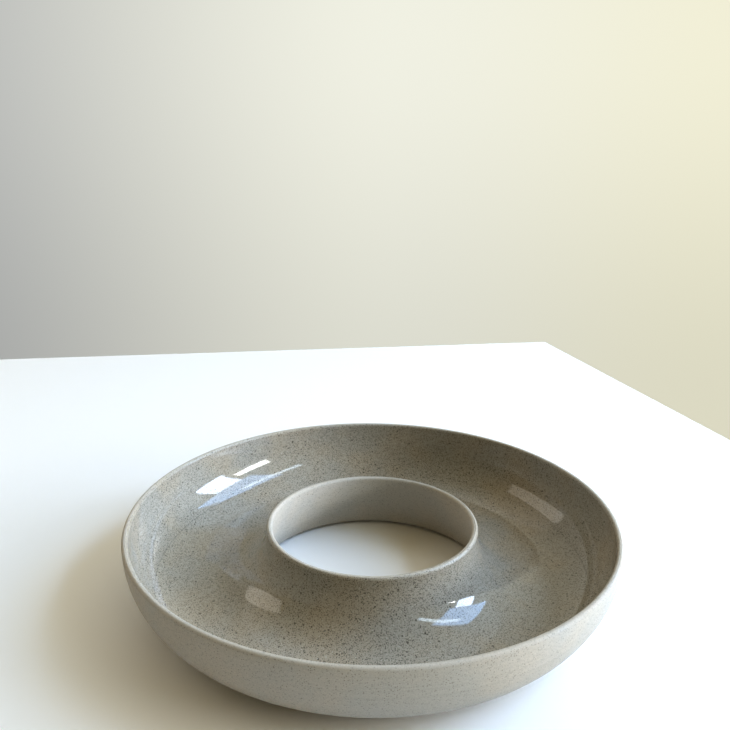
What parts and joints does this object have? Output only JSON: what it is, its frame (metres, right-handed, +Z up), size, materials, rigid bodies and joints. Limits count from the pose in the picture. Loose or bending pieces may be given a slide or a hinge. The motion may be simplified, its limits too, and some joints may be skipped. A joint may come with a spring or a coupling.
{
  "type": "chip and dip server",
  "caption": "Ring-shaped glazed stoneware serving dish: a round trough for chips around a collar with an open middle hole.",
  "frame": {"origin": "middle of the foot ring, on the surface that the dish stands on", "axes": "+Z up along the dish's turning axis; X and Y are free, since the dish is round"},
  "size_m": [0.29, 0.29, 0.0505],
  "materials": {
    "bare_stoneware": "matte, finely speckled, unglazed",
    "clear_glaze": "gloss, see-through over dark speckled clay"
  },
  "bodies": {
    "root": {"stoneware_body": "bare_stoneware", "glaze_coat": "clear_glaze"}
  },
  "joints": []
}
